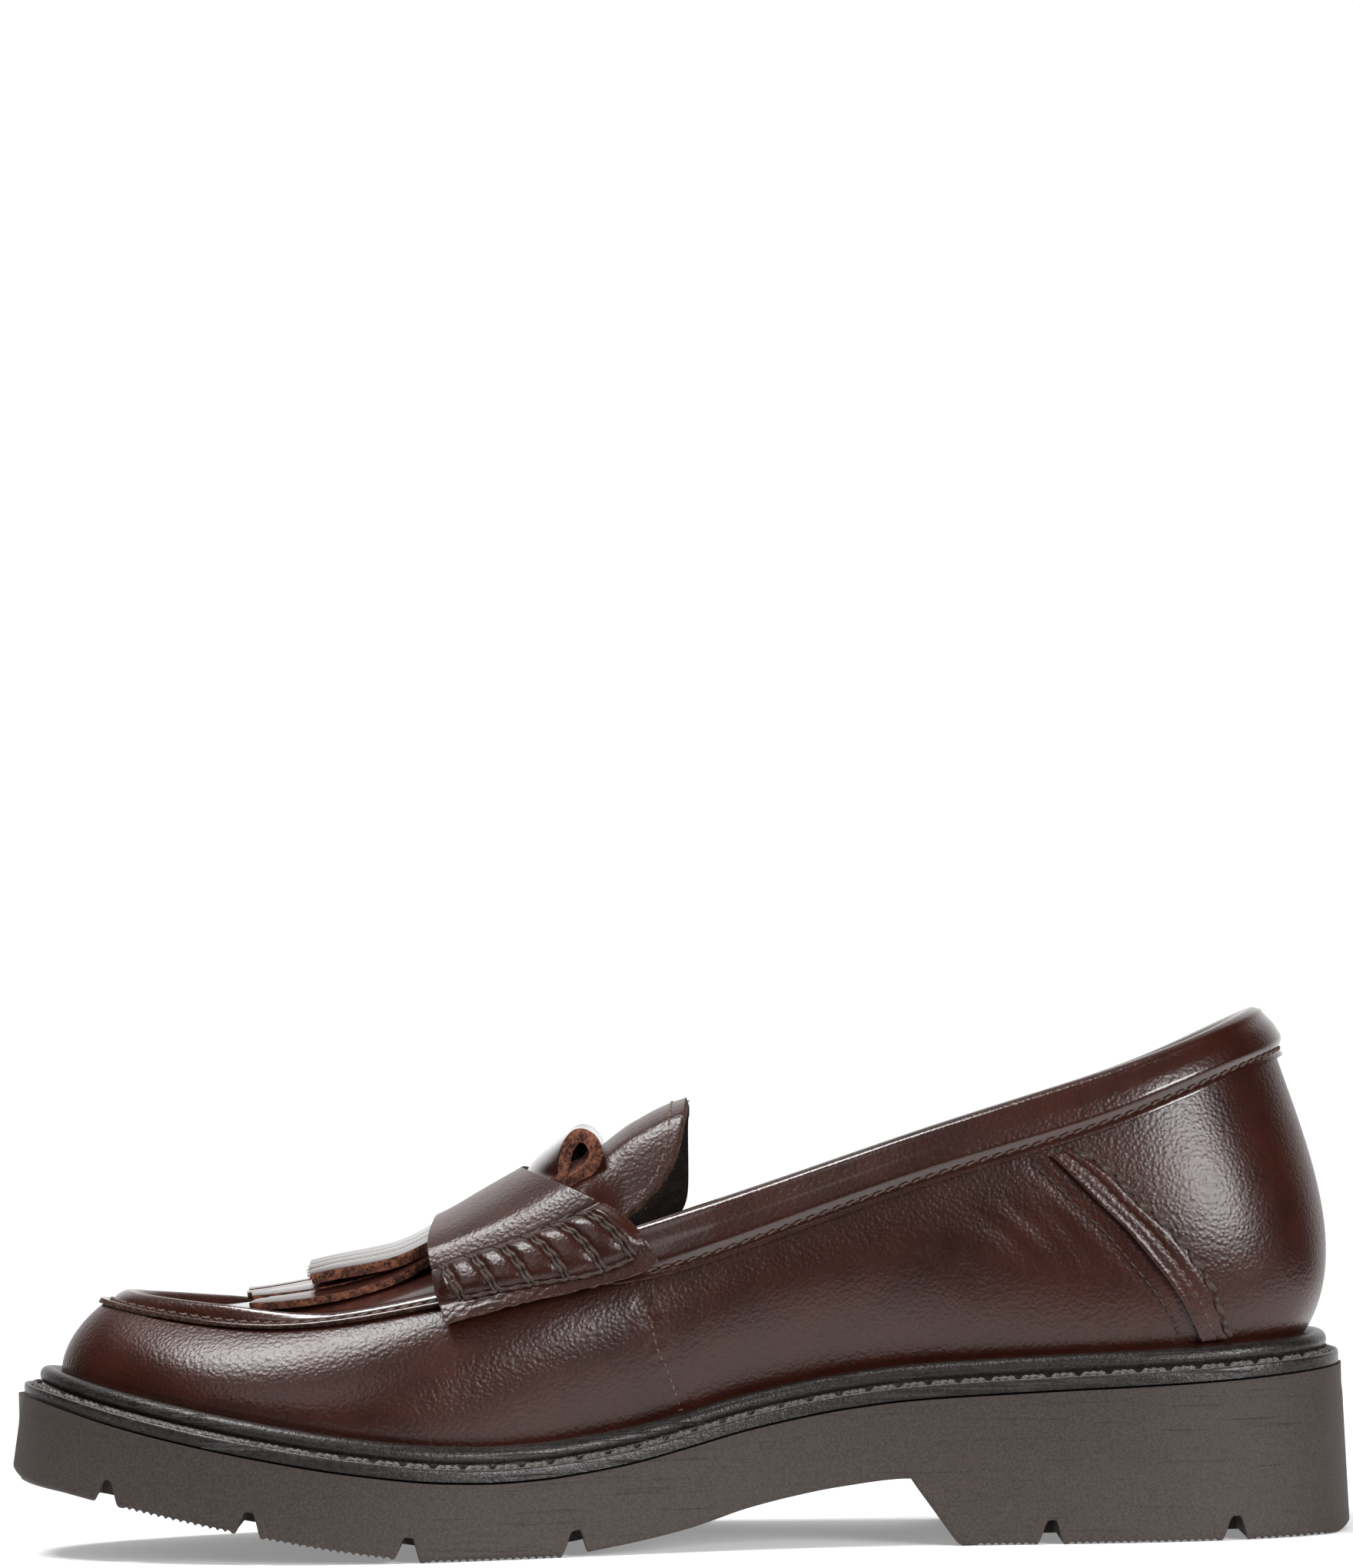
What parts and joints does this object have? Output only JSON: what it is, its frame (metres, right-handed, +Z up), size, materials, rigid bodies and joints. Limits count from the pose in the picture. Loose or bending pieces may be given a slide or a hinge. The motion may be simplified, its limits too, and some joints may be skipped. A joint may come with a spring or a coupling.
{
  "type": "kiltie loafer",
  "caption": "Slip-on leather loafer with a moc toe, fringed kiltie under a rolled saddle strap, padded collar, storm welt and a low lug sole with a block heel.",
  "frame": {"origin": "on the floor under the middle of the shoe's bounding box", "axes": "toe along -X, wearer's left (the inner side of this right shoe) along -Y, +Z up"},
  "size_m": [0.2671, 0.1014, 0.1039],
  "materials": {
    "outsole": "matt taupe brown, finely speckled",
    "welt": "satin near-black brown",
    "insole": "soft matt lining leather",
    "upper": "burnished glossy dark brown",
    "apron": "burnished glossy dark brown",
    "collar_band": "burnished glossy dark brown",
    "heel_strip_inner": "burnished glossy dark brown",
    "heel_strip_outer": "burnished glossy dark brown",
    "tongue": "burnished glossy dark brown",
    "kiltie": "glossy dark brown, raw reddish suede edges",
    "strap": "burnished glossy dark brown"
  },
  "bodies": {
    "root": {"outsole": "outsole", "welt": "welt", "insole": "insole", "upper": "upper", "apron": "apron", "collar_band": "collar_band", "heel_strip_inner": "heel_strip_inner", "heel_strip_outer": "heel_strip_outer", "tongue": "tongue", "kiltie": "kiltie", "strap": "strap"}
  },
  "joints": []
}
